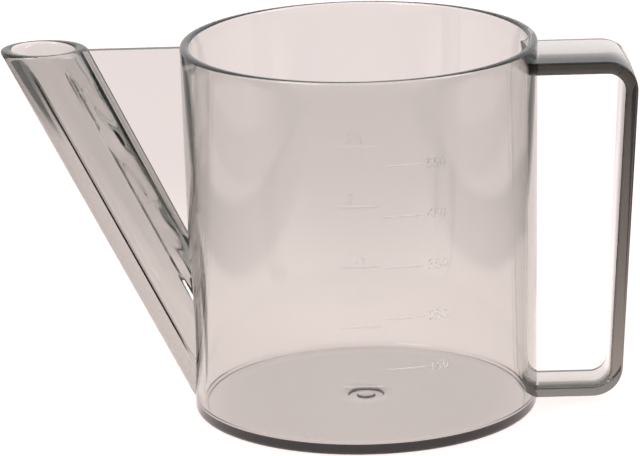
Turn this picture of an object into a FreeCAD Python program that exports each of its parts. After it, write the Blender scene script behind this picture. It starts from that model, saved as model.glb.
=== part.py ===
import FreeCAD, Part
import Sketcher
import os

# Clear one-piece jug that separates fat from gravy: a round cup, a straight spout that
# leaves the foot of the cup and rises to the level of the rim, a thin web between spout
# and cup, and a flat strap handle on the other side. Millimetres, +Z up. The origin is
# the centre of the underside, the spout points to -X and the handle to +X. The moulding
# is held as its members, which meet face to face.

doc = FreeCAD.newDocument("fat_separator")

# Driving dimensions: alias, value, meaning

SIZES = [
    ("cup_height", 106.0, "underside to the top of the rim"),
    ("rim_radius", 50.0, "outside of the cup at the rim"),
    ("base_radius", 48.7, "outside of the cup at the underside"),
    ("wall_thickness", 2.4, "cup wall"),
    ("floor_thickness", 2.6, "cup floor"),
    ("rim_round", 0.8, "rounding of both edges of the rim"),
    ("heel_bevel", 1.4, "bevel between wall and underside"),
    ("floor_bevel", 1.4, "bevel between wall and floor, inside"),
    ("gate_radius", 5.0, "dimple in the middle of the floor, inside"),
    ("gate_depth", 0.5, "depth of that dimple"),
    ("spout_reach", 88.0, "cup axis to the middle of the spout mouth"),
    ("spout_tilt", 26.3, "spout axis from upright, in degrees"),
    ("mouth_radius", 11.0, "outside of the spout at its mouth"),
    ("spout_foot_radius", 10.3, "outside of the spout at the level of the underside"),
    ("spout_wall", 3.2, "spout wall"),
    ("lip_bevel", 0.7, "bevel on both edges of the spout mouth"),
    ("web_thickness", 2.4, "web between spout and cup"),
    ("web_drop", 0.8, "top of the web below the rim"),
    ("strap_thickness", 3.6, "handle strap"),
    ("strap_top_depth", 29.4, "strap from front to back, upper arm"),
    ("strap_foot_depth", 14.5, "strap from front to back, lower arm"),
    ("strap_drop", 4.6, "upper arm below the rim"),
    ("strap_rise", 2.0, "lower arm above the underside"),
    ("strap_top_reach", 77.4, "cup axis to the outside of the strap, at the top"),
    ("strap_foot_reach", 72.6, "cup axis to the outside of the strap, at the bottom"),
    ("strap_corner", 8.6, "outer corner radius of the strap"),
    ("mark_height", 0.5, "height of a raised graduation line"),
    ("mark_relief", 0.3, "how far a graduation line stands out of the wall"),
    ("mark_length", 11.0, "length of a graduation line"),
    ("mark_gap", 1.0, "gap between the two columns of graduations"),
    ("mark_offset", 4.6, "cup axis to the middle of that gap, towards +X"),
]

# Graduations, in cubic millimetres: a column of half cups and a column of millilitres

HALF_CUP_MARKS = [118000 * step for step in range(1, 6)]
MILLILITRE_MARKS = [150000 + 100000 * step for step in range(5)]

sheet = doc.addObject("Spreadsheet::Sheet", "sizes")
for row, (alias, value, meaning) in enumerate(SIZES, start=1):
    sheet.set(f"A{row}", alias)
    sheet.set(f"B{row}", str(value))
    sheet.set(f"C{row}", meaning)
    sheet.setAlias(f"B{row}", alias)
doc.recompute()

# Values that several members share, as expressions of the sheet

DRAFT = "((<rim_radius> - <base_radius>) / <cup_height>)"
INNER_FOOT = "(<base_radius> - <wall_thickness>)"
INNER_RIM = "(<rim_radius> - <wall_thickness>)"
FLOOR_SKIRT = "(<floor_thickness> + <floor_bevel>)"
SPOUT_LENGTH = "(<cup_height> / cos(<spout_tilt> * 1 deg))"
SPOUT_TAPER = f"((<mouth_radius> - <spout_foot_radius>) / {SPOUT_LENGTH})"
SPOUT_FOOT_X = "(<cup_height> * tan(<spout_tilt> * 1 deg) - <spout_reach>)"
STRAP_TOP = "(<cup_height> - <strap_drop>)"

# Two places nearer to each other than this count as one

SAME_PLACE = 1e-4


def bound(text):
    """An expression in which every <alias> is read from the sheet."""
    return text.replace("<", "sizes.").replace(">", "")


def value(text):
    """The number that an expression of the sheet gives now."""
    return float(sheet.evalExpression(bound(text)))


def make(kind, name, **expressions):
    """Add a feature and bind its properties to expressions of the sheet."""
    feature = doc.addObject(kind, name)
    for prop, text in expressions.items():
        feature.setExpression(prop.replace("__", "."), bound(text))
    return feature


def block(name, low, high):
    """A box between two corners, each three expressions."""
    return make(
        "Part::Box", name,
        Length=f"({high[0]}) - ({low[0]})",
        Width=f"({high[1]}) - ({low[1]})",
        Height=f"({high[2]}) - ({low[2]})",
        Placement__Base__x=low[0],
        Placement__Base__y=low[1],
        Placement__Base__z=low[2],
    )


def cut(name, base, tool):
    """The base without the tool."""
    feature = doc.addObject("Part::Cut", name)
    feature.Base = base
    feature.Tool = tool
    return feature


def common(name, first, second):
    """What two features share."""
    feature = doc.addObject("Part::Common", name)
    feature.Base = first
    feature.Tool = second
    return feature


def level_edges(shape, height, widest_only=False):
    """Numbers of the edges that lie level at one height."""
    found = [
        (edge.BoundBox.XLength, number)
        for number, edge in enumerate(shape.Edges, start=1)
        if abs(edge.BoundBox.ZMin - height) < SAME_PLACE
        and abs(edge.BoundBox.ZMax - height) < SAME_PLACE
    ]
    if widest_only:
        return [max(found)[1]]
    return [number for _, number in found]


def edge_work(kind, name, base, numbers, size):
    """Round or bevel the numbered edges of a feature by one size."""
    feature = doc.addObject(kind, name)
    feature.Base = base
    reach = value(size)
    feature.Edges = [(number, reach, reach) for number in numbers]
    return feature


def rounded(name, base, numbers, radius):
    """The feature with those edges rounded."""
    return edge_work("Part::Fillet", name, base, numbers, radius)


def bevelled(name, base, numbers, size):
    """The feature with those edges bevelled."""
    return edge_work("Part::Chamfer", name, base, numbers, size)


def cup_blank():
    """The drafted outside of the cup, full to the rim."""
    return make(
        "Part::Cone", "cup_outside",
        Radius1="<base_radius>", Radius2="<rim_radius>", Height="<cup_height>",
    )


def cup_core():
    """The drafted inside of the cup, from the underside to the rim."""
    return make(
        "Part::Cone", "cup_inside",
        Radius1=INNER_FOOT, Radius2=INNER_RIM, Height="<cup_height>",
    )


def spout_cone(name, inset):
    """A cone along the spout axis, inset from the spout's outside, long at both ends."""
    spare = "<mouth_radius>"
    feature = make(
        "Part::Cone", name,
        Radius1=f"<spout_foot_radius> - {inset} - {SPOUT_TAPER} * {spare}",
        Radius2=f"<mouth_radius> - {inset} + {SPOUT_TAPER} * {spare}",
        Height=f"{SPOUT_LENGTH} + 2 * {spare}",
        Placement__Base__x=f"{SPOUT_FOOT_X} + {spare} * sin(<spout_tilt> * 1 deg)",
        Placement__Base__z=f"-{spare} * cos(<spout_tilt> * 1 deg)",
    )
    feature.Placement.Rotation = FreeCAD.Rotation(FreeCAD.Vector(0, -1, 0), 1)
    feature.setExpression("Placement.Rotation.Angle", bound("<spout_tilt> * 1 deg"))
    return feature


def spout_bore():
    """The spout's bore, from the top of the floor's bevel to above the mouth."""
    reach = "<spout_reach> + 3 * <mouth_radius>"
    room = block(
        "bore_room",
        (f"-({reach})", "-2 * <mouth_radius>", FLOOR_SKIRT),
        ("0", "2 * <mouth_radius>", "<cup_height> + 2 * <mouth_radius>"),
    )
    return common("bore", spout_cone("bore_cone", "<spout_wall>"), room)


def build_cup_wall(outside, inside, bore):
    """The round wall with a rounded rim and bevelled heel, open where the spout joins it."""
    ring = cut("wall_ring", outside, inside)
    doc.recompute()
    rim = level_edges(ring.Shape, value("<cup_height>"))
    soft_ring = rounded("soft_ring", ring, rim, "<rim_round>")
    doc.recompute()
    heel = level_edges(soft_ring.Shape, 0, widest_only=True)
    heeled_ring = bevelled("heeled_ring", soft_ring, heel, "<heel_bevel>")
    return cut("cup_wall", heeled_ring, bore)


def build_cup_floor(inside):
    """The floor, with a bevel up the wall and the dimple of the moulding gate."""
    slab = block(
        "floor_slab",
        ("-<rim_radius>", "-<rim_radius>", "0"),
        ("<rim_radius>", "<rim_radius>", FLOOR_SKIRT),
    )
    cavity = make(
        "Part::Cone", "cavity",
        Radius1=f"{INNER_FOOT} + {DRAFT} * <floor_thickness>",
        Radius2=INNER_RIM,
        Height="<cup_height> - <floor_thickness>",
        Placement__Base__z="<floor_thickness>",
    )
    doc.recompute()
    corner = level_edges(cavity.Shape, value("<floor_thickness>"))
    bevelled_cavity = bevelled("bevelled_cavity", cavity, corner, "<floor_bevel>")
    dimple = make(
        "Part::Cylinder", "gate_dimple",
        Radius="<gate_radius>", Height="<floor_thickness>",
        Placement__Base__z="<floor_thickness> - <gate_depth>",
    )
    disc = cut("floor_disc", common("floor_blank", inside, slab), bevelled_cavity)
    return cut("cup_floor", disc, dimple)


def build_spout(outside, bore):
    """The leaning tube, cut level at its mouth and shaped to the cup at its foot."""
    reach = "<spout_reach> + 3 * <mouth_radius>"
    room = block(
        "spout_room",
        (f"-({reach})", "-2 * <mouth_radius>", "0"),
        ("0", "2 * <mouth_radius>", "<cup_height>"),
    )
    stem = common("spout_stem", spout_cone("spout_outside", "0"), room)
    clear = cut("spout_clear", stem, outside)
    tube = cut("spout_bored", clear, bore)
    doc.recompute()
    lip = level_edges(tube.Shape, value("<cup_height>"))
    return stem, bevelled("spout_tube", tube, lip, "<lip_bevel>")


def build_web(outside, stem):
    """The thin plate that fills the corner between spout and cup."""
    plate = block(
        "web_plate",
        ("-<spout_reach>", "-<web_thickness> / 2", "<spout_foot_radius>"),
        ("-<base_radius> / 2", "<web_thickness> / 2", "<cup_height> - <web_drop>"),
    )
    corner = cut("web_corner", cut("web_clear", plate, outside), stem)
    doc.recompute()
    inner = max(corner.Shape.Solids, key=lambda solid: solid.CenterOfMass.x)
    web = doc.addObject("Part::Feature", "spout_web")
    web.Shape = inner
    return web


def outline(body, name, role, corners):
    """A closed straight-sided outline whose corners are pairs of expressions."""
    plane = next(item for item in body.Origin.OriginFeatures if item.Role == role)
    sketch = body.newObject("Sketcher::SketchObject", name)
    sketch.AttachmentSupport = (plane, [""])
    sketch.MapMode = "FlatFace"
    places = [FreeCAD.Vector(value(across), value(up), 0) for across, up in corners]
    last = len(places) - 1
    for number, place in enumerate(places):
        following = 0 if number == last else number + 1
        sketch.addGeometry(Part.LineSegment(place, places[following]))
    for number in range(len(places)):
        following = 0 if number == last else number + 1
        sketch.addConstraint(Sketcher.Constraint("Coincident", number, 2, following, 1))
    for number, (across, up) in enumerate(corners):
        for kind, text in (("DistanceX", across), ("DistanceY", up)):
            spot = Sketcher.Constraint(kind, -1, 1, number, 1, value(text))
            index = sketch.addConstraint(spot)
            sketch.setExpression(f"Constraints[{index}]", bound(text))
    return sketch


def build_strap(outside):
    """The flat strap, bent to a square C and narrower at the foot than at the top."""
    body = doc.addObject("PartDesign::Body", "strap_body")
    doc.recompute()
    inner_top = f"({STRAP_TOP} - <strap_thickness>)"
    inner_foot = "(<strap_rise> + <strap_thickness>)"
    inside_wall = "(<base_radius> - <strap_top_depth>)"
    side = outline(body, "strap_side", "XZ_Plane", [
        (inside_wall, STRAP_TOP),
        ("<strap_top_reach>", STRAP_TOP),
        ("<strap_foot_reach>", "<strap_rise>"),
        (inside_wall, "<strap_rise>"),
        (inside_wall, inner_foot),
        ("<strap_foot_reach> - <strap_thickness>", inner_foot),
        ("<strap_top_reach> - <strap_thickness>", inner_top),
        (inside_wall, inner_top),
    ])
    pad = body.newObject("PartDesign::Pad", "strap_pad")
    pad.Profile = side
    pad.SideType = "Symmetric"
    pad.setExpression("Length", bound("<strap_top_depth>"))
    doc.recompute()
    outer = ["<strap_top_reach>", "<strap_foot_reach>"]
    bends = [
        (outer, "<strap_corner>", "strap_outer_bends"),
        ([f"({text} - <strap_thickness>)" for text in outer],
         "<strap_corner> - <strap_thickness>", "strap_inner_bends"),
    ]
    base = pad
    for reaches, radius, name in bends:
        bend = body.newObject("PartDesign::Fillet", name)
        bend.Base = (base, bend_edges(base.Shape, [value(text) for text in reaches]))
        bend.setExpression("Radius", bound(radius))
        doc.recompute()
        base = bend
    half_top = "<strap_top_depth> / 2"
    half_foot = "<strap_foot_depth> / 2"
    for sign, name in (("", "strap_taper_back"), ("-", "strap_taper_front")):
        taper = outline(body, name, "YZ_Plane", [
            (f"{sign}{half_top}", STRAP_TOP),
            (f"{sign}{half_foot}", "<strap_rise>"),
            (f"{sign}<strap_top_depth>", "<strap_rise>"),
            (f"{sign}<strap_top_depth>", STRAP_TOP),
        ])
        pocket = body.newObject("PartDesign::Pocket", f"{name}_cut")
        pocket.Profile = taper
        pocket.SideType = "Symmetric"
        pocket.setExpression("Length", bound("4 * <strap_top_reach>"))
        doc.recompute()
    return cut("handle_strap", body, outside)


def bend_edges(shape, reaches):
    """Names of the edges that run front to back at one of the given distances out."""
    found = []
    for number, edge in enumerate(shape.Edges, start=1):
        box = edge.BoundBox
        level = box.XLength < SAME_PLACE and box.ZLength < SAME_PLACE
        if level and any(abs(box.XMin - reach) < SAME_PLACE for reach in reaches):
            found.append(f"Edge{number}")
    return found


def fill_height(volume):
    """Height over the underside of a filling of the cup, as an expression."""
    foot = f"({INNER_FOOT} + {DRAFT} * <floor_thickness>)"
    first_guess = f"({volume} / (pi * {foot} ^ 2))"
    middle = f"({foot} + {DRAFT} * {first_guess} / 2)"
    return f"(<floor_thickness> + {volume} / (pi * {middle} ^ 2))"


def build_scale(outside):
    """Raised graduation lines in two columns on the front of the wall."""
    skin_blank = make(
        "Part::Cone", "scale_skin",
        Radius1="<base_radius> + <mark_relief>",
        Radius2="<rim_radius> + <mark_relief>",
        Height="<cup_height>",
    )
    skin = cut("scale_ring", skin_blank, outside)
    middle = "<mark_offset>"
    columns = [
        ("cup", HALF_CUP_MARKS,
         f"{middle} - <mark_gap> / 2 - <mark_length>", f"{middle} - <mark_gap> / 2"),
        ("millilitre", MILLILITRE_MARKS,
         f"{middle} + <mark_gap> / 2", f"{middle} + <mark_gap> / 2 + <mark_length>"),
    ]
    lines = []
    for label, volumes, left, right in columns:
        for number, volume in enumerate(volumes, start=1):
            height = fill_height(volume)
            window = block(
                f"{label}_window_{number}",
                (left, "-2 * <rim_radius>", f"{height} - <mark_height> / 2"),
                (right, "0", f"{height} + <mark_height> / 2"),
            )
            lines.append(common(f"{label}_line_{number}", skin, window))
    scale = doc.addObject("Part::Compound", "measuring_scale")
    scale.Links = lines
    return scale


outside = cup_blank()
inside = cup_core()
bore = spout_bore()
cup_wall = build_cup_wall(outside, inside, bore)
cup_floor = build_cup_floor(inside)
stem, spout_tube = build_spout(outside, bore)
spout_web = build_web(outside, stem)
handle_strap = build_strap(outside)
measuring_scale = build_scale(outside)
doc.recompute()

members = [cup_wall, cup_floor, spout_tube, spout_web, handle_strap, measuring_scale]

# Nothing is written unless every feature is sound

for feature in doc.Objects:
    if "Invalid" in feature.State or "Error" in feature.State:
        raise RuntimeError(f"{feature.Name} failed: {feature.State}")
for member in members:
    if member.Shape.isNull() or not member.Shape.isValid():
        raise RuntimeError(f"{member.Name} has no valid shape")

os.makedirs("parts", exist_ok=True)
for member in members:
    member.Label = member.Name
    member.Shape.exportStep(f"parts/{member.Label}.step")
    box = member.Shape.BoundBox
    print(
        f"{member.Label}: {len(member.Shape.Solids)} solids, {member.Shape.Volume:.0f} mm3, "
        f"x {box.XMin:.1f} to {box.XMax:.1f}, z {box.ZMin:.1f} to {box.ZMax:.1f}"
    )
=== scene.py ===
# %% [markdown]
# # A smoke-grey gravy separator
# The real object is a kitchen jug moulded in one shot from clear, smoke-tinted plastic. It has a
# round cup, a straight spout that starts at the foot of the cup, a thin web between the two, and
# a flat strap for a handle. Nothing moves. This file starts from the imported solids, which stay
# fixed, and dresses them.

# %% The frame
import math

import bmesh
import bpy
import numpy as np
from mathutils import Matrix


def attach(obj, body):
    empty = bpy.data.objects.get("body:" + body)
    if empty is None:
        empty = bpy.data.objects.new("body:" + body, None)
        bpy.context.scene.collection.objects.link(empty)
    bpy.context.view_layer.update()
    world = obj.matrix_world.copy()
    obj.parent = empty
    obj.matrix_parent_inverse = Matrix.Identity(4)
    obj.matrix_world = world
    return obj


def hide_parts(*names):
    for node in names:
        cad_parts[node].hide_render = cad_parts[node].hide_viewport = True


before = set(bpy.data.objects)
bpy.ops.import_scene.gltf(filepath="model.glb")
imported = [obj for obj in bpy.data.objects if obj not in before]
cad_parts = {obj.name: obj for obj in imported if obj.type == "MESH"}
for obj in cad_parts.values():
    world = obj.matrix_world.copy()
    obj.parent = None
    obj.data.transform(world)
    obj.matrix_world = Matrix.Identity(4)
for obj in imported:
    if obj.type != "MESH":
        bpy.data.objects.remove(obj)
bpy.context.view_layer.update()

# %% [markdown]
# ## Sizes
# The sizes are those of the source of the solids, written here in millimetres because that is
# how the mould maker thinks. Only the small roundings are the scene's own, because most of the
# solids' edges have plain bevels. A single factor turns the finished points into metres.

# %% Sizes in millimetres
MM = 0.001
HEIGHT = 106.0
RIM_RADIUS = 50.0
BASE_RADIUS = 48.7
WALL = 2.4
FLOOR = 2.6
RIM_ROUND = 0.9
HEEL_ROUND = 1.6
FLOOR_ROUND = 1.5
GATE_RADIUS = 5.0
GATE_DEPTH = 0.5
GATE_NUB = 2.2

SPOUT_REACH = 88.0
SPOUT_TILT = math.radians(26.3)
MOUTH_RADIUS = 11.0
FOOT_RADIUS = 10.3
SPOUT_WALL = 3.2
LIP_ROUND = 1.1

WEB = 2.4
WEB_DROP = 0.8

STRAP = 3.6
STRAP_DROP = 4.6
STRAP_TOP = HEIGHT - STRAP_DROP
STRAP_FOOT = 2.0
STRAP_TOP_REACH = 77.4
STRAP_FOOT_REACH = 72.6
STRAP_TOP_DEPTH = 29.4
STRAP_FOOT_DEPTH = 14.5
STRAP_CORNER = 8.6
STRAP_EDGE = 0.7

print("cup", HEIGHT, "mm high and", 2 * RIM_RADIUS, "mm across, spout tilted",
      round(math.degrees(SPOUT_TILT), 1), "degrees")

# %% [markdown]
# ## From arrays to meshes
# Every shape below is a grid of points: one direction runs along a profile, the other goes
# round. A grid is easy to compute as one array, and its faces follow from the row and column
# numbers alone. The helpers here work out the faces, draw arcs and lines as arrays, and hand
# points and faces to Blender in one go. Clear plastic shows at once when a face points the wrong
# way, so the volume inside each mesh is summed up, and a negative sum turns its faces over.


# %% Mesh helpers
def grid_faces(rows, columns, closed_rows=False):
    """Four-sided faces of a grid whose columns wrap round; rows wrap too when closed."""
    last = rows if closed_rows else rows - 1
    row, column = np.meshgrid(np.arange(last), np.arange(columns), indexing="ij")
    below = row * columns
    above = ((row + 1) % rows) * columns
    following = (column + 1) % columns
    quads = np.stack([below + column, below + following, above + following, above + column], -1)
    return quads.reshape(-1, 4)


def put_mesh(name, points, faces):
    """A mesh object at the origin: each point, given in mm, times 0.001 is in metres."""
    mesh = bpy.data.meshes.new(name)
    mesh.from_pydata((np.asarray(points) * MM).tolist(), [], [list(map(int, f)) for f in faces])
    mesh.validate()
    piece = bpy.data.objects.new(name, mesh)
    bpy.context.scene.collection.objects.link(piece)
    face_outwards(piece)
    return piece


def face_outwards(piece):
    """Turn the faces outwards if the volume comes out negative. The volume is the sum of
    a dot (b cross c) over all triangles a, b, c, divided by six."""
    mesh = piece.data
    mesh.calc_loop_triangles()
    places = np.zeros(len(mesh.vertices) * 3)
    mesh.vertices.foreach_get("co", places)
    corners = np.zeros(len(mesh.loop_triangles) * 3, np.int32)
    mesh.loop_triangles.foreach_get("vertices", corners)
    a, b, c = places.reshape(-1, 3)[corners.reshape(-1, 3)].transpose(1, 0, 2)
    volume = np.einsum("ij,ij->", a, np.cross(b, c)) / 6
    if volume < 0:
        mesh.flip_normals()
    print(piece.name, len(mesh.vertices), "points,", round(abs(volume) * 1e6, 2), "ml")


def outward_faces(points, faces):
    """The faces, all turned over if their volume, summed over fans of triangles, is negative."""
    fans = np.array([(f[0], f[k], f[k + 1]) for f in faces for k in range(1, len(f) - 1)])
    a, b, c = np.asarray(points)[fans].transpose(1, 0, 2)
    if np.einsum("ij,ij->", a, np.cross(b, c)) < 0:
        return [list(face)[::-1] for face in faces]
    return faces


def arc(centre, radius, start, end, count):
    """Points of a circular arc: centre plus radius times cosine and sine, angles in degrees."""
    angle = np.radians(np.linspace(start, end, count))
    return np.stack([centre[0] + radius * np.cos(angle), centre[1] + radius * np.sin(angle)], -1)


def line(start, end, count):
    """Evenly spaced points between two ends, the ends left out."""
    share = np.linspace(0, 1, count + 2)[1:-1, None]
    return np.asarray(start) * (1 - share) + np.asarray(end) * share


# %% [markdown]
# ## The cup
# A turned shape: one outline of radius against height, carried round the axis. The outline
# climbs the outside, rolls over the rim, goes down the inside and crosses the floor, with the
# shallow ring and nub of the gate in the middle, where the plastic entered the mould. A Screw
# modifier could turn it too, but the array keeps exact control over the small roundings, and on
# a clear material those roundings are what draws the rim as a dark and a bright line.


# %% The cup's outline
def wall_radius(z):
    """Outside radius: base radius plus the draft, which grows evenly with height."""
    return BASE_RADIUS + (RIM_RADIUS - BASE_RADIUS) * z / HEIGHT


BASE_POINTS, ROUND_POINTS, WALL_POINTS, FLOOR_POINTS = 6, 9, 24, 8
GATE_POINTS, NUB_POINTS = 6, 7
GATE_EDGE, NUB_EDGE = 0.2, 0.7


def cup_outline():
    """Radius and height from the axis underneath, up the outside, over the rim and back."""
    foot = wall_radius(FLOOR) - WALL
    heel = (wall_radius(HEEL_ROUND) - HEEL_ROUND, HEEL_ROUND)
    outer_rim = (wall_radius(HEIGHT - RIM_ROUND) - RIM_ROUND, HEIGHT - RIM_ROUND)
    inner_rim = (wall_radius(HEIGHT - RIM_ROUND) - WALL + RIM_ROUND, HEIGHT - RIM_ROUND)
    corner = (foot - FLOOR_ROUND, FLOOR + FLOOR_ROUND)
    dimple_floor = FLOOR - GATE_DEPTH
    gate = GATE_RADIUS + GATE_DEPTH / 2
    parts = [
        [(0.0, 0.0)],
        line((0.0, 0.0), (heel[0], 0.0), BASE_POINTS),
        arc(heel, HEEL_ROUND, -90, 0, ROUND_POINTS),
        line((heel[0] + HEEL_ROUND, HEEL_ROUND),
             (outer_rim[0] + RIM_ROUND, outer_rim[1]), WALL_POINTS),
        arc(outer_rim, RIM_ROUND, 0, 90, ROUND_POINTS),
        arc(inner_rim, RIM_ROUND, 90, 180, ROUND_POINTS),
        line((inner_rim[0] - RIM_ROUND, inner_rim[1]), (foot, FLOOR + FLOOR_ROUND), WALL_POINTS),
        arc(corner, FLOOR_ROUND, 0, -90, ROUND_POINTS),
        line((corner[0], FLOOR), (gate, FLOOR), FLOOR_POINTS),
        arc((gate, FLOOR - GATE_DEPTH / 2), GATE_DEPTH / 2, 90, 180, GATE_POINTS),
        [(GATE_RADIUS - GATE_EDGE, dimple_floor), (GATE_NUB + NUB_EDGE, dimple_floor)],
        arc((GATE_NUB, dimple_floor), GATE_DEPTH, 0, 90, NUB_POINTS),
        [(0.0, dimple_floor + GATE_DEPTH)],
    ]
    outline = np.concatenate([np.asarray(part, float) for part in parts])
    print("outline of", len(outline), "points")
    return outline


# %% The cup, turned
def turned(name, outline, columns):
    """An outline carried round the axis: x is radius times cosine, y radius times sine. The
    first and last point lie on the axis, and each becomes one pole."""
    angle = np.linspace(0, 2 * np.pi, columns, endpoint=False)
    body = outline[1:-1]
    radius, height = body[:, :1], body[:, 1:]
    rings = np.stack([radius * np.cos(angle), radius * np.sin(angle), height + 0 * angle], -1)
    rows = len(body)
    around = np.arange(columns)
    following = (around + 1) % columns
    low, high = rows * columns, rows * columns + 1
    top_row = (rows - 1) * columns
    faces = grid_faces(rows, columns).tolist()
    faces += np.stack([following, around, 0 * around + low], -1).tolist()
    faces += np.stack([top_row + around, top_row + following, 0 * around + high], -1).tolist()
    poles = [(0, 0, outline[0, 1]), (0, 0, outline[-1, 1])]
    return put_mesh(name, np.concatenate([rings.reshape(-1, 3), poles]), faces)


CUP_COLUMNS = 288
cup = turned("cup", cup_outline(), CUP_COLUMNS)

# %% [markdown]
# ## The spout
# A straight tube, a little wider at the mouth than at the foot. Its mouth is cut level with the
# rim, so each lengthwise line of the tube ends at its own distance along the axis. A cone
# primitive cut by a boolean would leave uneven faces at the lip, so one function works out level
# rings, and the outside, the rounded lip and the bore are all made of them.


# %% The spout's rings
SPOUT_COLUMNS = 240


def spout_ring(level, inset, columns=SPOUT_COLUMNS):
    """Where a cone round the leaning axis meets a level plane. A point is the axis point at that
    level, plus the cone's radius across the axis, slid along the axis until it is level."""
    angle = np.linspace(0, 2 * np.pi, columns, endpoint=False)
    down = np.array([math.sin(SPOUT_TILT), 0, -math.cos(SPOUT_TILT)])
    across = np.array([math.cos(SPOUT_TILT), 0, math.sin(SPOUT_TILT)])
    side = np.array([0.0, 1.0, 0.0])
    length = HEIGHT / math.cos(SPOUT_TILT)
    taper = (FOOT_RADIUS - MOUTH_RADIUS) / length
    mouth = np.array([-SPOUT_REACH, 0, HEIGHT])
    facing = np.cos(angle)[:, None] * across + np.sin(angle)[:, None] * side
    radius = MOUTH_RADIUS - inset
    slope = down[2] + taper * facing[:, 2]
    along = (level - HEIGHT - radius * facing[:, 2]) / slope
    return mouth + along[:, None] * down + (radius + taper * along)[:, None] * facing


def ring_stack(name, rings, closed):
    """Rings joined one to the next; closed joins the last to the first, otherwise caps."""
    rings = np.stack(rings)
    rows, columns = rings.shape[:2]
    faces = grid_faces(rows, columns, closed_rows=closed).tolist()
    if not closed:
        faces.append(list(range(columns))[::-1])
        faces.append([(rows - 1) * columns + k for k in range(columns)])
    return put_mesh(name, rings.reshape(-1, 3), faces)


# %% [markdown]
# A real moulded spout isn't optically perfect. The mould can leave lengthwise creases in the
# outside, which draw long dark lines down the front, and the bore can set in slow ripples beside
# the web. Both are part of the rings' radius here, because a bump in the material would bend no
# outline and would be missing from the mesh. They fade out under the lip and towards the foot.


# %% Creases and flow waves
CREASES = [(245.8, 1.9, 0.75), (291.5, 2.6, 0.80)]  # angle and width in degrees, depth in mm
CREASE_FADE = {"foot": 12.0, "foot_run": 12.0, "lip": 3.0, "lip_run": 4.0}
WAVE_AT, WAVE_WIDTH, WAVE_DEPTH = 316.0, 13.0, 0.22
WAVE_LENGTHS, WAVE_TWIST, WAVE_PHASE = (1.9, 3.1, 5.3), 9, 2
WAVE_FADE = {"foot": 30.0, "foot_run": 10.0, "lip": 4.0, "lip_run": 6.0}


def faded(level, foot, foot_run, lip, lip_run):
    """Nought near the foot and under the lip, one between, with an even run at both ends."""
    under_lip = np.clip((HEIGHT - lip - level) / lip_run, 0, 1)
    return under_lip * np.clip((level - foot) / foot_run, 0, 1)


def creases(level, columns=SPOUT_COLUMNS):
    """Depth at one level: for each crease a bell curve of the angle, its depth times e to the
    minus squared distance over width, faded at both ends."""
    angle = np.linspace(0, 360, columns, endpoint=False)
    depth = sum(d * np.exp(-((angle - a) / w) ** 2) for a, w, d in CREASES)
    return depth * faded(level, **CREASE_FADE)


def flow_waves(level, columns=SPOUT_COLUMNS):
    """Unevenness of the bore: three sines of the level, times a bell curve of the angle."""
    angle = np.linspace(0, 360, columns, endpoint=False)
    band = np.exp(-((angle - WAVE_AT) / WAVE_WIDTH) ** 2)
    short, middle, long = (level / length for length in WAVE_LENGTHS)
    ripple = np.sin(short) + np.sin(middle + angle / WAVE_TWIST) + np.sin(long + WAVE_PHASE)
    return WAVE_DEPTH * ripple * band * faded(level, **WAVE_FADE)


# %% The spout's tube
SPOUT_START, SPOUT_LEVELS, LIP_STEPS = 0.3, 120, 8


def spout_tube():
    """Up the outside, over the lip by two quarter circles, down the bore."""
    quarter = np.radians(np.linspace(0, 90, LIP_STEPS))
    rise = HEIGHT - LIP_ROUND + LIP_ROUND * np.sin(quarter)
    inset = LIP_ROUND - LIP_ROUND * np.cos(quarter)
    levels = np.linspace(SPOUT_START, HEIGHT - LIP_ROUND, SPOUT_LEVELS)
    rings = [spout_ring(level, creases(level)) for level in levels[:-1]]
    rings += [spout_ring(z, d) for z, d in zip(rise, inset)]
    rings += [spout_ring(z, SPOUT_WALL - d) for z, d in zip(rise[::-1], inset[::-1])]
    rings += [spout_ring(level, SPOUT_WALL + flow_waves(level)) for level in levels[-2::-1]]
    return ring_stack("spout", rings, closed=True)


spout = spout_tube()

# %% [markdown]
# ## The handle
# A flat strip that leaves the cup level, turns down, and comes back in at the foot. It is deep at
# the top, where fingers push, and narrower at the foot. A curve with a bevel object can only
# scale its whole section, so the strip is worked out as an array instead: a rounded rectangle is
# carried along the strip's middle line, and its depth follows the height of each point.


# %% The strap's path
STRAP_ROOT = 9.0
LEVEL_POINTS, BEND_POINTS, BACK_POINTS = 16, 14, 40


def strap_path():
    """Middle line in the x-z plane: level, a bend, the leaning back, a bend, level. A bend's
    centre lies one bend radius in from the back and down from the level, less what the lean
    takes away."""
    half = STRAP / 2
    bend = STRAP_CORNER - half
    top, low = STRAP_TOP - half, STRAP_FOOT + half
    lean = math.atan2(STRAP_TOP_REACH - STRAP_FOOT_REACH, STRAP_TOP - STRAP_FOOT)
    turn = math.degrees(lean)
    upper_reach = STRAP_TOP_REACH - half / math.cos(lean) - half * math.tan(lean)
    lower_reach = STRAP_FOOT_REACH - half / math.cos(lean) + half * math.tan(lean)
    upper = (upper_reach - bend * (1 + math.tan(lean) / 2), top - bend)
    lower = (lower_reach - bend * (1 - math.tan(lean) / 2), low + bend)
    root = wall_radius(0) - STRAP_ROOT
    upper_bend = arc(upper, bend, 90, -turn, BEND_POINTS)
    lower_bend = arc(lower, bend, -turn, -90, BEND_POINTS)
    return np.concatenate([
        line((root, top), (upper[0], top), LEVEL_POINTS),
        upper_bend,
        line(upper_bend[-1], lower_bend[0], BACK_POINTS),
        lower_bend,
        line((lower[0], low), (root, low), LEVEL_POINTS),
    ])


# %% The strap's section
EDGE_POINTS = 6


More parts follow.
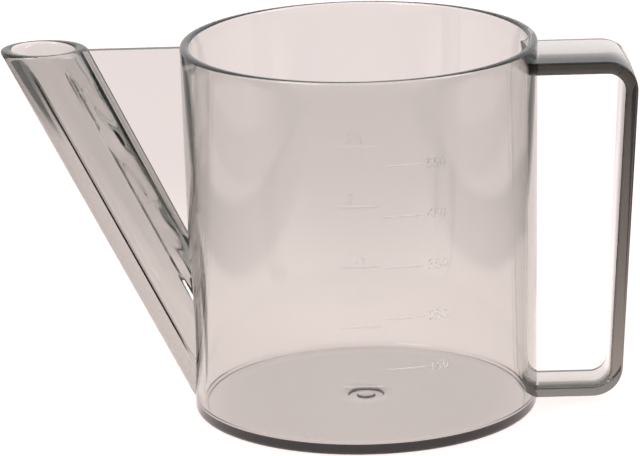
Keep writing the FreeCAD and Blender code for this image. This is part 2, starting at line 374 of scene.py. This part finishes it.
def strap_solid():
    """A rounded rectangle carried along the path: its short side along the path's normal, its
    long side along y, as long as the depth at that height."""
    path = strap_path()
    tangent = np.gradient(path, axis=0)
    tangent /= np.linalg.norm(tangent, axis=1, keepdims=True)
    normal = np.stack([-tangent[:, 1], tangent[:, 0]], -1)
    corners = [(1, 1, 0), (-1, 1, 90), (-1, -1, 180), (1, -1, 270)]
    inner = STRAP / 2 - STRAP_EDGE
    section = np.concatenate([
        np.concatenate([arc((sx * inner, 0), STRAP_EDGE, turn, turn + 90, EDGE_POINTS),
                        np.full((EDGE_POINTS, 1), sy)], 1)
        for sx, sy, turn in corners
    ])
    out, rounding, sign = section[:, 0], section[:, 1], section[:, 2]
    place = path[:, None, :] + normal[:, None, :] * out[None, :, None]
    share = (place[..., 1] - STRAP_FOOT) / (STRAP_TOP - STRAP_FOOT)
    depth = STRAP_FOOT_DEPTH + (STRAP_TOP_DEPTH - STRAP_FOOT_DEPTH) * share
    across = sign * (depth / 2 - STRAP_EDGE) + rounding
    rings = np.stack([place[..., 0], across, place[..., 1]], -1)
    return ring_stack("strap", rings, closed=False)


strap = strap_solid()

# %% [markdown]
# ## The web and the cutters
# The web is a flat plate between spout and cup. Plate, tube and strap are cut back to the middle
# of what they run into, so that the union has no two surfaces in the same place. The port is the
# bore carried on through the cup's wall, so that the jug pours from under the fat. A clear
# moulding must be one closed skin: an inner wall left behind would show as a bright film.


# %% Plate and cutters
def plate(name, outline, thickness):
    """A flat outline in the x-z plane, given a thickness along y."""
    outline = np.asarray(outline, float)
    count = len(outline)
    sides = [np.full(count, -thickness / 2), np.full(count, thickness / 2)]
    points = np.concatenate([np.stack([outline[:, 0], y, outline[:, 1]], -1) for y in sides])
    around = np.arange(count)
    following = (around + 1) % count
    faces = [list(range(count)), [count + k for k in range(count)][::-1]]
    faces += np.stack([around, around + count, following + count, following], -1).tolist()
    return put_mesh(name, points, faces)


def axis_x(level):
    """Where the spout's axis crosses a level: its mouth, plus the drop times the tangent of
    the tilt."""
    return -SPOUT_REACH + math.tan(SPOUT_TILT) * (HEIGHT - level)


# %% The web
WEB_TOP, WEB_LOW, WEB_SINK = HEIGHT - WEB_DROP, 36.0, 3.0
WEB_ROOT = RIM_RADIUS - WEB_SINK

web = plate("web", [
    (axis_x(WEB_TOP), WEB_TOP),
    (axis_x(WEB_LOW), WEB_LOW),
    (-WEB_ROOT, WEB_LOW),
    (-WEB_ROOT, WEB_TOP),
], WEB)

# %% Cutters: the middle of the wall, the middle of the tube, and the port
SPARE = 12.0
CUTTER_COLUMNS, TUBE_COLUMNS, TUBE_RINGS = 360, 120, 8
PORT_LIFT, PORT_HIGH, PORT_RINGS, PORT_EASE = 1.6, 62.0, 24, 0.03

mid_wall = turned("mid_wall", np.array([
    (0.0, -SPARE),
    (wall_radius(-SPARE) - WALL / 2, -SPARE),
    (wall_radius(HEIGHT + SPARE) - WALL / 2, HEIGHT + SPARE),
    (0.0, HEIGHT + SPARE),
]), CUTTER_COLUMNS)
tube_levels = np.linspace(-SPARE, HEIGHT + SPARE, TUBE_RINGS)
mid_tube = ring_stack(
    "mid_tube", [spout_ring(z, SPOUT_WALL / 2, TUBE_COLUMNS) for z in tube_levels], closed=False
)
port_levels = np.linspace(FLOOR + PORT_LIFT, PORT_HIGH, PORT_RINGS)
port = ring_stack(
    "port", [spout_ring(z, SPOUT_WALL + PORT_EASE) for z in port_levels], closed=False
)

# %% [markdown]
# ## One moulding
# Boolean modifiers add and take away the closed solids, and the result is kept as a plain mesh.
# The manifold solver is meant for closed solids such as these, and keeps the result closed. It
# can leave slivers where two surfaces cross at a shallow angle, so points nearer than a few
# thousandths of a millimetre are merged afterwards. Edges sharper than a set angle are kept
# crisp, and everything else is shaded smoothly.


# %% Join and cut
def combine(piece, tool, operation):
    """Give the piece the mesh that one boolean with the tool leaves; the tool stays."""
    step = piece.modifiers.new("join", "BOOLEAN")
    step.operation = operation
    step.object = tool
    step.solver = "MANIFOLD"
    held = bpy.context.evaluated_depsgraph_get()
    held.update()
    made = bpy.data.meshes.new_from_object(piece.evaluated_get(held))
    piece.modifiers.clear()
    piece.data = made


for member in (spout, web, strap):
    combine(member, mid_wall, "DIFFERENCE")
combine(web, mid_tube, "DIFFERENCE")
moulding = cup
for member in (spout, web, strap):
    combine(moulding, member, "UNION")
combine(moulding, port, "DIFFERENCE")
for tool in (spout, web, strap, mid_wall, mid_tube, port):
    bpy.data.objects.remove(tool)

# %% Weld and shade
WELD = 0.005 * MM
SHARP_ANGLE = math.radians(28)

welded = bmesh.new()
welded.from_mesh(moulding.data)
bmesh.ops.remove_doubles(welded, verts=welded.verts, dist=WELD)
print("edges not shared by two faces:", sum(not edge.is_manifold for edge in welded.edges))
welded.to_mesh(moulding.data)
welded.free()
moulding.name = "jug_moulding"
moulding.data.name = "jug_moulding"
moulding.data.materials.clear()
moulding.data.shade_smooth()
moulding.data.set_sharp_from_angle(angle=SHARP_ANGLE)
face_outwards(moulding)

# %% [markdown]
# ## Graduations
# Two columns of raised lines stand on the front wall, half cups on the left and hundreds of
# millilitres on the right, each with its number. A line sits where that volume fills the cup.
# The numbers are text turned into a mesh and then bent round the wall by arithmetic, which keeps
# their depth. A Shrinkwrap modifier would flatten them. Every mark stands a hundredth of a
# millimetre clear of the wall, so that no two clear skins lie in the same place.


# %% Filling heights
def fill_height(volume):
    """Height of a filling: floor plus volume over the cup's area half-way up the filling."""
    foot = wall_radius(FLOOR) - WALL
    first = volume / (math.pi * foot**2)
    middle = foot + (RIM_RADIUS - BASE_RADIUS) / HEIGHT * first / 2
    return FLOOR + volume / (math.pi * middle**2)


MILLILITRE = 1000
HALF_CUP = 118 * MILLILITRE
HALF_CUPS = [(HALF_CUP * n, label) for n, label in enumerate(["½", "1", "1½", "2", "2½"], 1)]
HUNDREDS = [(volume * MILLILITRE, str(volume)) for volume in range(150, 551, 100)]
print("filling heights:", [round(fill_height(volume), 1) for volume, _ in HALF_CUPS + HUNDREDS])

# %% Marks bent round the wall
MARK_HEIGHT, MARK_LENGTH, MARK_GAP, MARK_MIDDLE = 0.5, 11.0, 1.0, 4.6
MARK_CLEAR, MARK_RELIEF, MARK_EDGE, MARK_COLUMNS = 0.01, 0.3, 0.1, 9


def on_wall(across, up, out):
    """Wrap flat points on the front wall: the distance across becomes an angle, the height stays,
    and the distance out is added to the wall's radius."""
    radius = wall_radius(up)
    angle = across / radius
    reach = radius + out
    return np.stack([reach * np.sin(angle), -reach * np.cos(angle), up], -1)


def mark_mesh(left, right, height):
    """A low bar: one section with bevelled edges, as distances out from the wall and shares
    of the bar's height, repeated at even steps across."""
    shoulder = MARK_RELIEF - MARK_EDGE
    section = np.array([(MARK_CLEAR, -0.5), (shoulder, -0.5), (MARK_RELIEF, -0.3),
                        (MARK_RELIEF, 0.3), (shoulder, 0.5), (MARK_CLEAR, 0.5)])
    out, share = section[None, :, 0], section[None, :, 1]
    across = np.linspace(left, right, MARK_COLUMNS)[:, None]
    points = on_wall(across, height + share * MARK_HEIGHT + 0 * across, out)
    rows, columns = points.shape[:2]
    faces = grid_faces(rows, columns).tolist()
    faces += [list(range(columns))[::-1], [(rows - 1) * columns + k for k in range(columns)]]
    points = points.reshape(-1, 3)
    return points, outward_faces(points, faces)


# %% Numbers bent round the wall
NUMBER_RELIEF, NUMBER_SIZE, NUMBER_WELD = 0.25, 3.8, 0.002


def number_mesh(text, left, low, size):
    """A number as a closed mesh: text with a depth, its points wrapped on the wall."""
    curve = bpy.data.curves.new("number", "FONT")
    curve.body = text
    curve.size = size
    curve.extrude = (NUMBER_RELIEF - MARK_CLEAR) / 2
    curve.resolution_u = 3
    holder = bpy.data.objects.new("number", curve)
    bpy.context.scene.collection.objects.link(holder)
    held = bpy.context.evaluated_depsgraph_get()
    held.update()
    mesh = bpy.data.meshes.new_from_object(holder.evaluated_get(held))
    welded = bmesh.new()
    welded.from_mesh(mesh)
    bmesh.ops.remove_doubles(welded, verts=welded.verts, dist=NUMBER_WELD)
    bmesh.ops.recalc_face_normals(welded, faces=welded.faces)
    welded.to_mesh(mesh)
    welded.free()
    flat = np.zeros(len(mesh.vertices) * 3)
    mesh.vertices.foreach_get("co", flat)
    flat = flat.reshape(-1, 3)
    out = flat[:, 2] + (NUMBER_RELIEF + MARK_CLEAR) / 2
    points = on_wall(left + flat[:, 0], low + flat[:, 1], out)
    faces = [list(face.vertices) for face in mesh.polygons]
    bpy.data.objects.remove(holder)
    bpy.data.curves.remove(curve)
    bpy.data.meshes.remove(mesh)
    return points, outward_faces(points, faces)


# %% All marks in one piece
CUPS_INDENT, CUPS_LIFT = 2.0, 1.2
HUNDREDS_INDENT, HUNDREDS_DROP = 1.2, 1.3
cups_left = MARK_MIDDLE - MARK_GAP / 2 - MARK_LENGTH
hundreds_left = MARK_MIDDLE + MARK_GAP / 2

marks = []
for volume, label in HALF_CUPS:
    level = fill_height(volume)
    marks.append(mark_mesh(cups_left, cups_left + MARK_LENGTH, level))
    marks.append(number_mesh(label, cups_left + CUPS_INDENT, level + CUPS_LIFT, NUMBER_SIZE))
for volume, label in HUNDREDS:
    level = fill_height(volume)
    right = hundreds_left + MARK_LENGTH
    marks.append(mark_mesh(hundreds_left, right, level))
    marks.append(number_mesh(label, right + HUNDREDS_INDENT, level - HUNDREDS_DROP, NUMBER_SIZE))

all_points, all_faces, start = [], [], 0
for points, faces in marks:
    all_points.append(points)
    all_faces += [[corner + start for corner in face] for face in faces]
    start += len(points)
graduations = put_mesh("graduations", np.concatenate(all_points), all_faces)

# %% [markdown]
# ## Smoke-clear plastic
# Clear styrene-like plastic bends light strongly, so the shader is full transmission with an
# index of refraction near 1.57. The smoke tint is in the body of the plastic, not on its
# surface: a Volume Absorption node takes away a share of the light for each millimetre, which
# is why thin walls look pale and the strap, seen edge-on, looks nearly black. Moulded clear
# plastic is never optically flat, so a faint, slow noise bends its surface, and a finer noise
# makes its haze uneven. Both read Object coordinates, so they stay with the jug.


# %% The plastic
PLASTIC_INDEX = 1.57
SMOKE_COLOUR = (0.265, 0.232, 0.185, 1)
SMOKE_DENSITY = 140.0
FLOW_SCALE, FLOW_DETAIL = 22.0, 1.5
HAZE_SCALE, HAZE_DETAIL, HAZE_SPREAD = 60.0, 4.0, 3


def smoke_plastic(name, wave, roughness):
    """Transmission with absorption, and two noises: one for the slow waves and one for haze."""
    material = bpy.data.materials.new(name)
    material.use_nodes = True
    nodes, links = material.node_tree.nodes, material.node_tree.links
    shader = nodes["Principled BSDF"]
    shader.inputs["Base Color"].default_value = (1.0, 1.0, 1.0, 1)
    shader.inputs["Transmission Weight"].default_value = 1.0
    shader.inputs["IOR"].default_value = PLASTIC_INDEX
    smoke = nodes.new("ShaderNodeVolumeAbsorption")
    smoke.inputs["Color"].default_value = SMOKE_COLOUR
    smoke.inputs["Density"].default_value = SMOKE_DENSITY
    links.new(smoke.outputs["Volume"], nodes["Material Output"].inputs["Volume"])
    place = nodes.new("ShaderNodeTexCoord")
    flow = nodes.new("ShaderNodeTexNoise")
    flow.inputs["Scale"].default_value = FLOW_SCALE
    flow.inputs["Detail"].default_value = FLOW_DETAIL
    links.new(place.outputs["Object"], flow.inputs["Vector"])
    bump = nodes.new("ShaderNodeBump")
    bump.inputs["Strength"].default_value = wave
    bump.inputs["Distance"].default_value = MM
    links.new(flow.outputs["Fac"], bump.inputs["Height"])
    links.new(bump.outputs["Normal"], shader.inputs["Normal"])
    haze = nodes.new("ShaderNodeTexNoise")
    haze.inputs["Scale"].default_value = HAZE_SCALE
    haze.inputs["Detail"].default_value = HAZE_DETAIL
    links.new(place.outputs["Object"], haze.inputs["Vector"])
    spread = nodes.new("ShaderNodeMapRange")
    spread.inputs["To Min"].default_value = roughness
    spread.inputs["To Max"].default_value = roughness * HAZE_SPREAD
    links.new(haze.outputs["Fac"], spread.inputs["Value"])
    links.new(spread.outputs["Result"], shader.inputs["Roughness"])
    print(name, "with waves of strength", wave, "and roughness from", roughness)
    return material


clear_wall = smoke_plastic("smoke_clear_plastic", wave=0.12, roughness=0.012)
clear_marks = smoke_plastic("smoke_clear_marks", wave=0.05, roughness=0.03)
moulding.data.materials.append(clear_wall)
graduations.data.materials.append(clear_marks)
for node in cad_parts.values():
    node.data.materials.clear()
    node.data.materials.append(clear_wall)

# %% [markdown]
# ## On the body
# The jug is one rigid body, so both pieces ride on its root. The moulding stands in for the five
# solids that it fuses, and the marks stand in for the bare lines.

# %% Pieces on their body
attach(moulding, "root")
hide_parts("cup_wall", "cup_floor", "spout_tube", "spout_web", "handle_strap")
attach(graduations, "root")
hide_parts("measuring_scale")

# %% [markdown]
# ## Floor and light
# Clear things are lit by what stands behind them, so the wide, pale floor works like a light
# table. It glows most near the jug and a little less far away. Right under the jug it glows a
# little less, which is a painted contact shadow, and in front, where a photographer would stand
# in the dark, it hardly glows at all. A dark strip on each side does the work of the black cards
# that a studio puts beside glass: bent light from there draws the dark edges of the clear walls.
# To
# the camera itself the floor is plain and pale in every view.


# %% Floor
FLOOR_RADIUS, FLOOR_DROP = 6000.0, 0.15
FLOOR_COLOUR = (0.30, 0.295, 0.295, 1)
GLOW_COLOUR = (1.0, 0.875, 0.855, 1)


def floor_disc(radius, columns=96):
    """A flat disc a hair under the jug: radius times cosine and sine."""
    angle = np.linspace(0, 2 * np.pi, columns, endpoint=False)
    points = np.stack([radius * np.cos(angle), radius * np.sin(angle), 0 * angle - FLOOR_DROP], -1)
    return put_mesh("floor", points, [list(range(columns))])


floor = floor_disc(FLOOR_RADIUS)
floor_paint = bpy.data.materials.new("pale_floor")
floor_paint.use_nodes = True
floor_shader = floor_paint.node_tree.nodes["Principled BSDF"]
floor_shader.inputs["Base Color"].default_value = FLOOR_COLOUR
floor_shader.inputs["Roughness"].default_value = 1.0
floor_shader.inputs["Specular IOR Level"].default_value = 0.0
floor_shader.inputs["Emission Color"].default_value = GLOW_COLOUR


# %% Helpers for the floor's pattern
def ramp(tree, value, low, high, at_low, at_high):
    """A number that goes smoothly from one level to another between two places."""
    node = tree.nodes.new("ShaderNodeMapRange")
    node.interpolation_type = "SMOOTHSTEP"
    node.inputs["From Min"].default_value = low
    node.inputs["From Max"].default_value = high
    node.inputs["To Min"].default_value = at_low
    node.inputs["To Max"].default_value = at_high
    tree.links.new(value, node.inputs["Value"])
    return node.outputs["Result"]


def combined(tree, operation, first, second):
    """Two numbers joined by one operation."""
    node = tree.nodes.new("ShaderNodeMath")
    node.operation = operation
    tree.links.new(first, node.inputs[0])
    tree.links.new(second, node.inputs[1])
    return node.outputs["Value"]


# %% Where the floor glows, in metres
POOL_NEAR, POOL_FAR, POOL_GLOW, FAR_GLOW = 0.05, 0.27, 1.10, 0.84
# The next line sets a painted contact shadow: the glow dims a little right under the jug.
CONTACT_SHADOW_EDGE, CONTACT_SHADOW_END, CONTACT_SHADOW_SHARE = 0.038, 0.052, 0.925
FRONT_DARK, FRONT_LIT, FRONT_SHARE = -0.30, -0.14, 0.12
GAP_START, GAP_END, GAP_EDGE = 0.20, 0.26, 0.02
PLAIN_GLOW = 0.98

tree = floor_paint.node_tree
place = tree.nodes.new("ShaderNodeTexCoord").outputs["Object"]
from_middle = tree.nodes.new("ShaderNodeVectorMath")
from_middle.operation = "LENGTH"
tree.links.new(place, from_middle.inputs[0])
distance = from_middle.outputs["Value"]
axes = tree.nodes.new("ShaderNodeSeparateXYZ")
tree.links.new(place, axes.inputs["Vector"])
sideways = tree.nodes.new("ShaderNodeMath")
sideways.operation = "ABSOLUTE"
tree.links.new(axes.outputs["X"], sideways.inputs[0])
across = sideways.outputs["Value"]

pool = ramp(tree, distance, POOL_NEAR, POOL_FAR, POOL_GLOW, FAR_GLOW)
# Painted contact shadow: the floor's glow drops a little under the jug's foot.
painted_contact_shadow = ramp(tree, distance, CONTACT_SHADOW_EDGE, CONTACT_SHADOW_END, CONTACT_SHADOW_SHARE, 1.0)
front = ramp(tree, axes.outputs["Y"], FRONT_DARK, FRONT_LIT, FRONT_SHARE, 1.0)
gap_in = ramp(tree, across, GAP_START - GAP_EDGE, GAP_START, 1.0, 0.0)
gap_out = ramp(tree, across, GAP_END, GAP_END + GAP_EDGE, 0.0, 1.0)
glow = combined(tree, "MULTIPLY", pool, painted_contact_shadow)
glow = combined(tree, "MULTIPLY", glow, front)
glow = combined(tree, "MULTIPLY", glow, combined(tree, "ADD", gap_in, gap_out))

# %% Plain for the camera
straight_view = tree.nodes.new("ShaderNodeLightPath").outputs["Is Camera Ray"]
direct = tree.nodes.new("ShaderNodeMix")
direct.inputs["B"].default_value = PLAIN_GLOW
tree.links.new(straight_view, direct.inputs["Factor"])
tree.links.new(glow, direct.inputs["A"])
tree.links.new(direct.outputs["Result"], floor_shader.inputs["Emission Strength"])
floor.data.materials.append(floor_paint)
print("floor glows", POOL_GLOW, "near the jug,", FAR_GLOW, "far away,", PLAIN_GLOW, "seen plain")

# %% [markdown]
# ## Sky
# The sky is a soft grey-white that is darker on the photographer's side. It reads the world's own
# direction, so it stays where it is when the camera moves.

# %% Sky
SKY_DARK_AT, SKY_LIGHT_AT, SKY_DARK, SKY_LIGHT = -0.5, 0.15, 0.15, 1.0

sky = bpy.data.worlds.new("studio")
bpy.context.scene.world = sky
sky.use_nodes = True
sky_nodes, sky_links = sky.node_tree.nodes, sky.node_tree.links
facing = sky_nodes.new("ShaderNodeTexCoord")
split = sky_nodes.new("ShaderNodeSeparateXYZ")
fade = sky_nodes.new("ShaderNodeMapRange")
fade.inputs["From Min"].default_value = SKY_DARK_AT
fade.inputs["From Max"].default_value = SKY_LIGHT_AT
fade.inputs["To Min"].default_value = SKY_DARK
fade.inputs["To Max"].default_value = SKY_LIGHT
sky_links.new(facing.outputs["Generated"], split.inputs["Vector"])
sky_links.new(split.outputs["Y"], fade.inputs["Value"])
sky_links.new(fade.outputs["Result"], sky_nodes["Background"].inputs["Color"])
sky_nodes["Background"].inputs["Strength"].default_value = 1.0

# %% [markdown]
# ## Lamps
# Two large soft boxes, a stronger one on the left and a weaker one on the right, give soft
# highlights. Small lamps would leave sharp sparks on clear plastic.


# %% Lamps
def turned_to(side, up, ahead, place):
    """A placing whose columns are side, up, minus ahead and the place."""
    turn = np.stack([side, up, -ahead], -1)
    return Matrix([[*turn[k], place[k]] for k in range(3)] + [[0, 0, 0, 1]])


def soft_box(name, place, aim, width, height, power):
    """A rectangular area lamp at a place, turned to face a point."""
    lamp = bpy.data.lights.new(name, "AREA")
    lamp.shape = "RECTANGLE"
    lamp.size, lamp.size_y, lamp.energy = width, height, power
    holder = bpy.data.objects.new(name, lamp)
    bpy.context.scene.collection.objects.link(holder)
    place, aim = np.asarray(place, float), np.asarray(aim, float)
    ahead = (aim - place) / np.linalg.norm(aim - place)
    side = np.cross(ahead, (0, 0, 1.0))
    side /= np.linalg.norm(side)
    holder.matrix_world = turned_to(side, np.cross(side, ahead), ahead, place)
    print(name, "of", power, "watts")


JUG_MIDDLE = (0, 0, 0.05)
soft_box("key", (-0.9, -0.9, 1.3), JUG_MIDDLE, 0.7, 0.7, 9.0)
soft_box("fill", (1.1, -0.5, 1.0), JUG_MIDDLE, 0.6, 0.9, 5.0)

# %% [markdown]
# ## Camera
# The photograph looks slightly down on the jug from in front, from well over a metre away, and
# leans a little. The distance, the height and the lens come from lining up the ellipses of rim
# and base. A look through the jug crosses many clear walls, so light may bend and bounce more
# often than Blender's own setting lets it.

# %% Camera
CAMERA_DISTANCE = 1212.4
CAMERA_RISE = math.radians(15.796)
CAMERA_LEAN = math.radians(-1.434)
CAMERA_SWING = math.radians(-0.245)
CAMERA_TARGET = (-12.01, 51.78)
PIXELS_WIDE = 640
FOCAL_PIXELS = 4291.15
SENSOR = 36.0
CLIP = (0.01, 50.0)
CLEAR_BOUNCES = 24

right_level = np.array([math.cos(CAMERA_SWING), math.sin(CAMERA_SWING), 0])
ahead = np.array([-math.sin(CAMERA_SWING), math.cos(CAMERA_SWING), 0])
upright = np.array([0, 0, 1.0])
look = ahead * math.cos(CAMERA_RISE) - upright * math.sin(CAMERA_RISE)
above = ahead * math.sin(CAMERA_RISE) + upright * math.cos(CAMERA_RISE)
right = math.cos(CAMERA_LEAN) * right_level + math.sin(CAMERA_LEAN) * above
up = -math.sin(CAMERA_LEAN) * right_level + math.cos(CAMERA_LEAN) * above
eye = CAMERA_TARGET[0] * right_level + CAMERA_TARGET[1] * upright - look * CAMERA_DISTANCE
camera = bpy.data.objects.new("camera", bpy.data.cameras.new("camera"))
bpy.context.scene.collection.objects.link(camera)
camera.matrix_world = turned_to(right, up, look, eye * MM)
camera.data.sensor_width = SENSOR
camera.data.lens = FOCAL_PIXELS / PIXELS_WIDE * SENSOR
camera.data.clip_start, camera.data.clip_end = CLIP
bpy.context.scene.camera = camera
bpy.context.scene.view_settings.view_transform = "Standard"
bpy.context.scene.cycles.max_bounces = CLEAR_BOUNCES
bpy.context.scene.cycles.transmission_bounces = CLEAR_BOUNCES
print("lens", round(camera.data.lens, 1), "mm")
